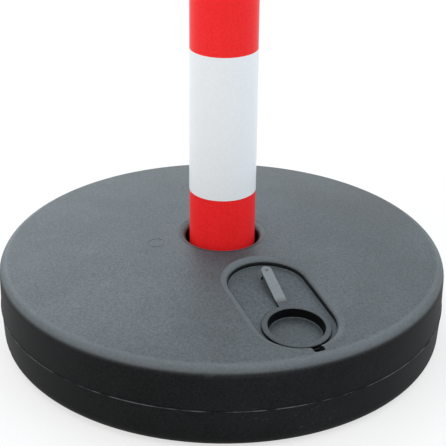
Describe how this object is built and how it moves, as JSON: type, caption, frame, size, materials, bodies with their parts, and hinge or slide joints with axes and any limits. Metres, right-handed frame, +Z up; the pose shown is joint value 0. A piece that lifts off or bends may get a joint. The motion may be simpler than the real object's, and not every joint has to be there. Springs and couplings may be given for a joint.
{
  "type": "fillable post base",
  "caption": "Round hollow base, filled with water or sand through a tethered plug in a recess, with a red and white banded post standing loose in its socket.",
  "frame": {"origin": "on the post's axis, on the ground under the base", "axes": "+Z up along the post, -Y towards the viewer of the picture, +X to the viewer's right"},
  "size_m": [0.411, 0.411, 0.948],
  "materials": {
    "shell": "satin black",
    "tether": "satin dark grey",
    "post_red": "smooth red",
    "film_white": "white reflective film",
    "end_plug": "satin black"
  },
  "bodies": {
    "base": {"lower_shell": "shell", "upper_shell": "shell", "tether_anchor": "tether"},
    "strap": {"tether_strap": "tether"},
    "plug": {"filler_plug": "tether"},
    "post": {"post_foot": "end_plug", "post_tube": "post_red", "post_cap": "end_plug", "white_band_lower": "film_white", "white_band_middle": "film_white", "white_band_upper": "film_white"}
  },
  "joints": [
    {"name": "strap_lift", "type": "hinge", "parent": "base", "child": "strap", "pos_m": [0.04138, -0.07517, 0.09355], "axis": [-0.9452, -0.3262, 0.0116], "range_deg": [0, 70]},
    {"name": "plug_flip", "type": "hinge", "parent": "strap", "child": "plug", "pos_m": [0.05198, -0.1062, 0.08457], "axis": [-0.9452, -0.3262, 0.0116], "range_deg": [0, 90]},
    {"name": "post_lift", "type": "slide", "parent": "base", "child": "post", "axis": [0, 0, 1], "range_m": [0, 0.1]}
  ]
}
